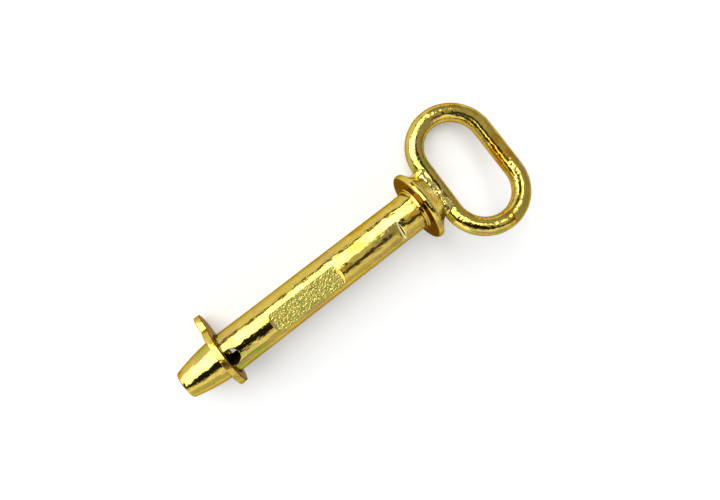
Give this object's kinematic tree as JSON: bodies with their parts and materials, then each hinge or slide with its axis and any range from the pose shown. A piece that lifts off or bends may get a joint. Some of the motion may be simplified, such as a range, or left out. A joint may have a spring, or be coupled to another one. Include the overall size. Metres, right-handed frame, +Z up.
{
  "type": "hitch pin",
  "caption": "Forged hitch pin with a collar, a welded racetrack loop handle, a tapered nose with a cross hole, and a loose tabbed washer on its shank.",
  "frame": {"origin": "bottom centre of the bounding box, on the floor that the pin lies on", "axes": "+X along the shank towards the loop handle, +Z up, +Y to the side on which the loop and the washer's tab touch the floor"},
  "size_m": [0.268, 0.092, 0.0527],
  "materials": {
    "plated_steel": "yellow zinc plate, glossy, iridescent",
    "plated_bar": "yellow zinc plate, glossy, iridescent",
    "plated_weld": "yellow zinc plate over a rough weld",
    "plated_washer": "yellow zinc plate, satin"
  },
  "bodies": {
    "pin": {"forged_pin": "plated_steel", "loop_handle": "plated_bar", "handle_weld": "plated_weld"},
    "washer": {"tab_washer": "plated_washer"}
  },
  "joints": [
    {"name": "washer_slide", "type": "slide", "parent": "pin", "child": "washer", "axis": [0.9997, 0, 0.0255], "range_m": [0, 0.153]}
  ]
}
